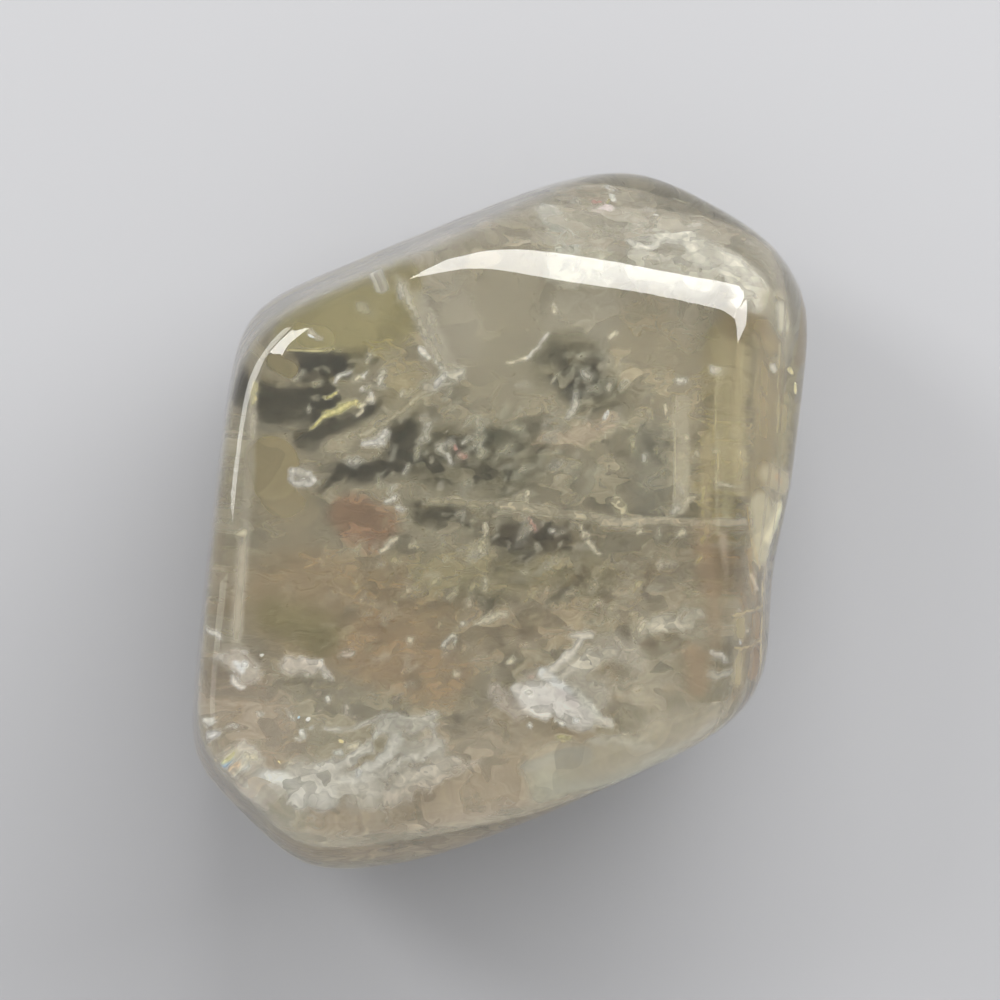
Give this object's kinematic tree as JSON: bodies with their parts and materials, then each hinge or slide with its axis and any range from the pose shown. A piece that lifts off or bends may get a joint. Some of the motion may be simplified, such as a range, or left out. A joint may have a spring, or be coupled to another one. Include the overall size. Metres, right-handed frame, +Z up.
{
  "type": "polished prasiolite stone",
  "caption": "Tumbled, polished piece of pale green quartz: a broad flat front, sloping side facets with soft creases, a flat back it rests on, and white veils inside.",
  "frame": {"origin": "middle of the stone's box in plan, on the surface that it rests on", "axes": "+Z up out of the broad front face, +Y along the stone's long way, +X to the side with the small hollow"},
  "size_m": [0.0348, 0.0392, 0.0194],
  "materials": {
    "polished_quartz": "polished clear pale green quartz, IOR 1.544, with white and grey healed fractures inside"
  },
  "bodies": {
    "root": {"prasiolite": "polished_quartz"}
  },
  "joints": []
}
